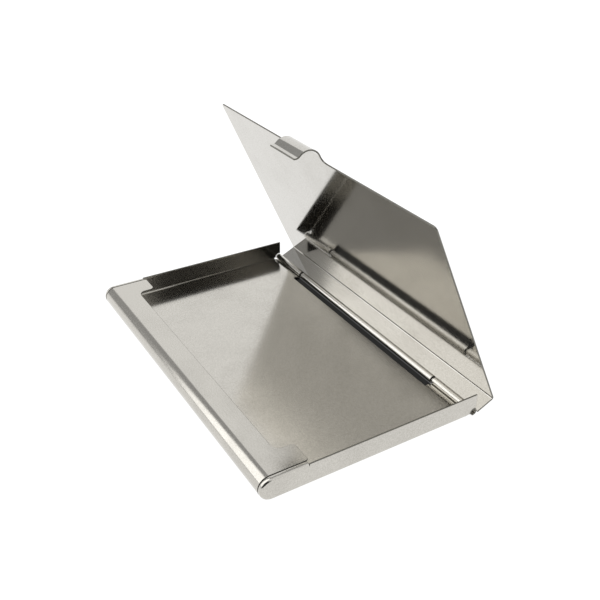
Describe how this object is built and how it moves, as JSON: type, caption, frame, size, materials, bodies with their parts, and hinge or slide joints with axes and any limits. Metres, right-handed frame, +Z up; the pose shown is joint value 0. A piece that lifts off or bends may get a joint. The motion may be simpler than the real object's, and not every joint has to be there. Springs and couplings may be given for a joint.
{
  "type": "business card case",
  "caption": "Slim folded-steel card case: shallow tray with a rolled front and lip, and a flat hinged lid with a thumb tab, on a wire hinge.",
  "frame": {"origin": "middle of the tray's flat underside", "axes": "+Z up out of the tray, -Y towards the rolled front, +X along the hinge"},
  "size_m": [0.094, 0.0644, 0.0579],
  "materials": {
    "brushed_sheet": "satin brushed stainless sheet",
    "drawn_wire": "drawn stainless wire"
  },
  "bodies": {
    "tray_body": {"tray": "brushed_sheet", "hinge_pin": "drawn_wire"},
    "lid_body": {"lid": "brushed_sheet"}
  },
  "joints": [
    {"name": "lid_hinge", "type": "hinge", "parent": "tray_body", "child": "lid_body", "pos_m": [0, 0.0287, 0.0006], "axis": [-1, 0, 0], "range_deg": [-65, 25]}
  ]
}
